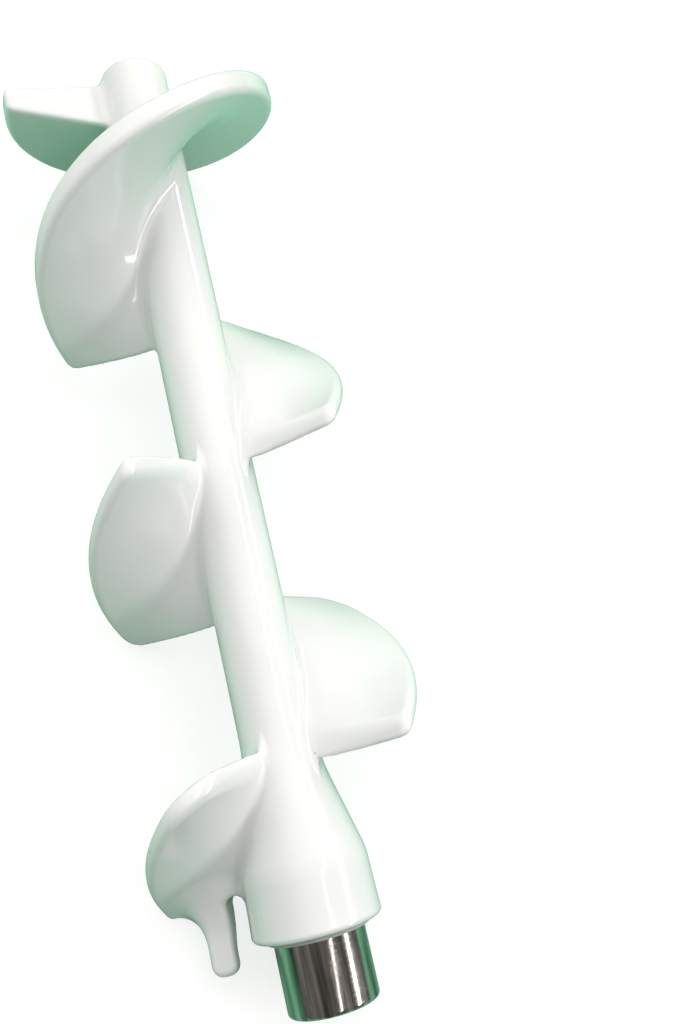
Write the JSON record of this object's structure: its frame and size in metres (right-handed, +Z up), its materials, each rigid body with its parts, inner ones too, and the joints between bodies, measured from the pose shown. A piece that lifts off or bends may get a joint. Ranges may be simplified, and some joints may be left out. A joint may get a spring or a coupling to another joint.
{
  "type": "drill paint mixer head",
  "caption": "Mixing head for a drill: white shaft with interrupted screw blades, a cone-shaped hub and a polished steel drive sleeve.",
  "frame": {"origin": "on the bench, under the middle of the head's box as it lies at rest", "axes": "+Z up from the bench, +Y along the head from the drive sleeve to the tip, +X to the right seen from above with the tip away from the viewer"},
  "size_m": [0.08, 0.2748, 0.0771],
  "materials": {
    "white_body": "very glossy white coat, smooth, with soft orange peel",
    "polished_steel": "polished with fine turning and length marks",
    "inner_steel": "plain machined",
    "o_ring_rubber": "matte black",
    "lip_seal": "satin pale grey"
  },
  "bodies": {
    "root": {"drive_sleeve": "polished_steel", "hex_socket": "inner_steel", "socket_clip": "inner_steel", "torque_pin": "inner_steel", "core_rod": "inner_steel", "thrust_washer": "inner_steel", "rod_o_ring": "o_ring_rubber", "collar_seal": "lip_seal", "hub_collar": "white_body", "hub_cone": "white_body", "shaft_tube": "white_body", "tip_cap": "white_body", "tip_washer": "inner_steel", "tip_screw": "inner_steel", "top_flight": "white_body", "upper_right_paddle": "white_body", "middle_left_paddle": "white_body", "lower_right_paddle": "white_body", "bottom_left_paddle": "white_body", "scraper_finger": "white_body"}
  },
  "joints": []
}
